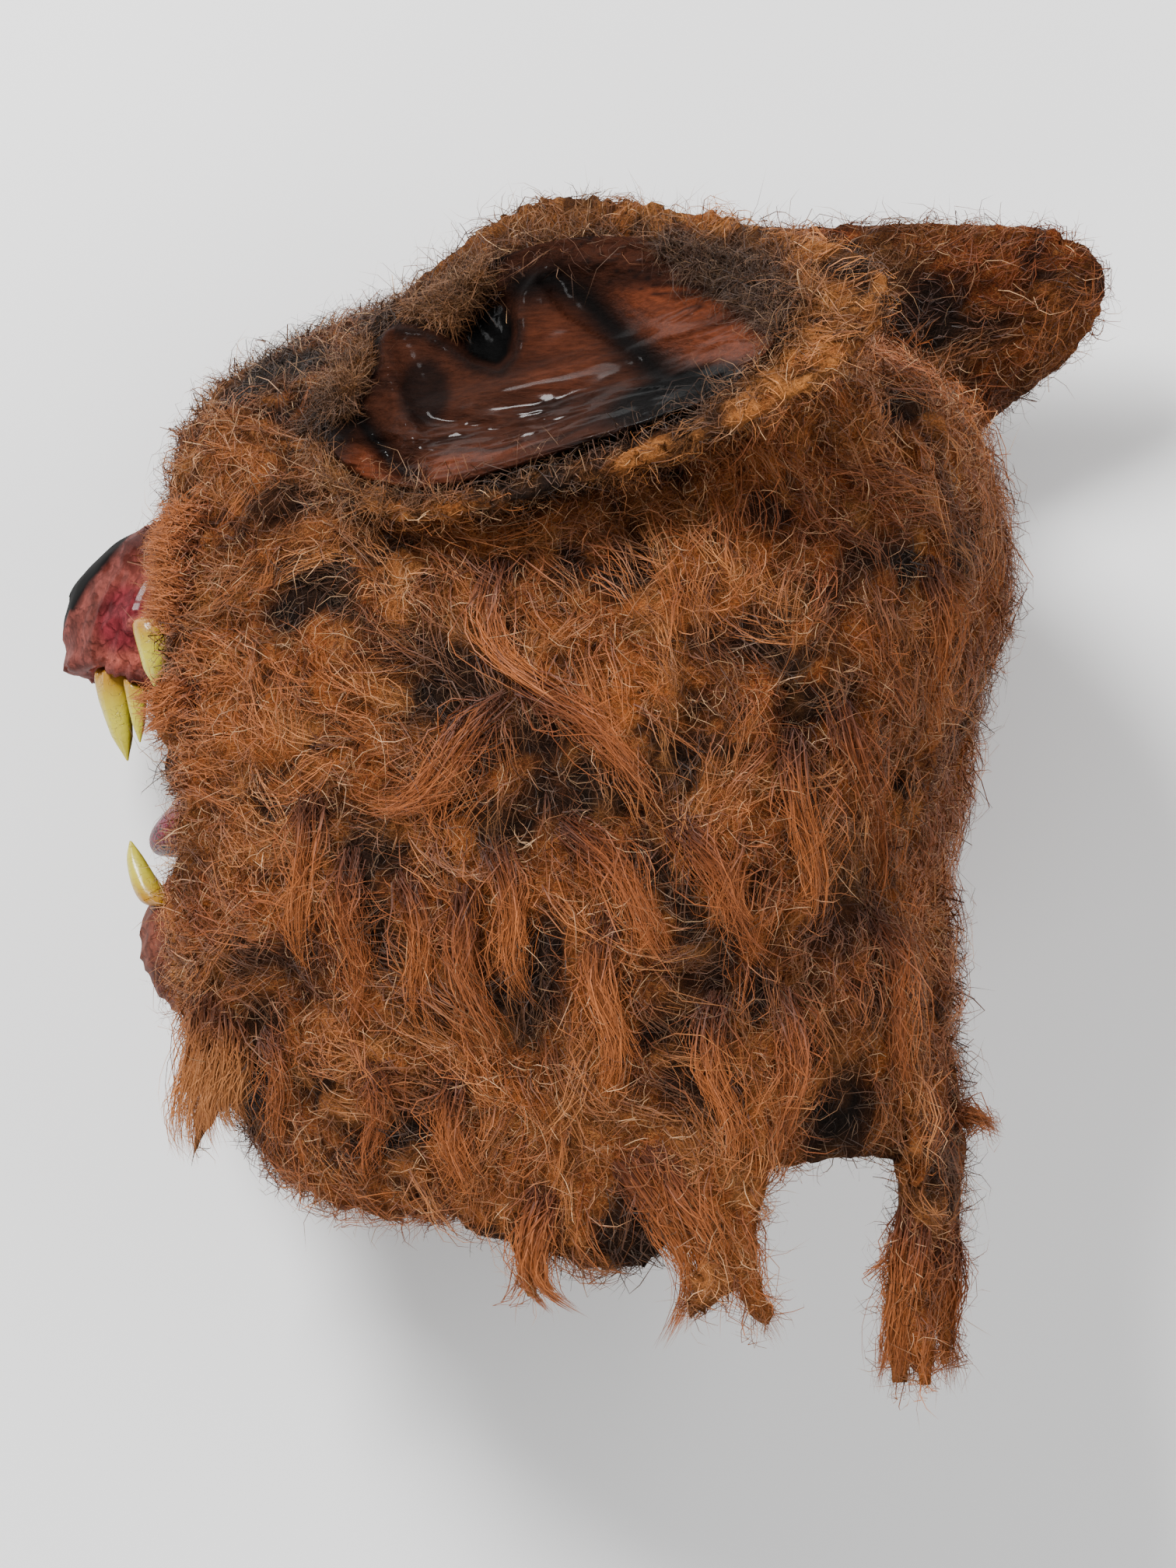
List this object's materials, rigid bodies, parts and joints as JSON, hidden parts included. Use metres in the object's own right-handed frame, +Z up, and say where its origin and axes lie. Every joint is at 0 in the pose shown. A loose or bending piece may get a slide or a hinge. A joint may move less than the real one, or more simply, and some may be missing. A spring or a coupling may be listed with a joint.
{
  "type": "over-the-head wolf mask",
  "caption": "Moulded latex over-the-head wolf mask with brown faux fur, open fanged mouth and two latex ears, lying on its side.",
  "frame": {"origin": "on the surface the mask lies on, below the middle of its bounding box", "axes": "+X towards the nape, +Y towards the crown, +Z up from the surface, towards the mask's left side"},
  "size_m": [0.3458, 0.3798, 0.2681],
  "materials": {
    "latex": "brown painted latex with black shading, glossy on the folds",
    "fur": "matted rust-brown faux fur over a near-black backing",
    "teeth": "glossy yellow, amber at the gum",
    "tongue": "glossy dark pink with black specks"
  },
  "bodies": {
    "root": {"latex_head": "latex", "fur_hood": "fur", "left_ear": "latex", "left_ear_fur": "fur", "right_ear": "latex", "right_ear_fur": "fur", "upper_fang_left": "teeth", "upper_fang_right": "teeth", "upper_side_tooth_left": "teeth", "upper_side_tooth_right": "teeth", "upper_cheek_fang_left": "teeth", "upper_cheek_fang_right": "teeth", "lower_fang_left": "teeth", "lower_fang_right": "teeth", "tongue": "tongue"}
  },
  "joints": []
}
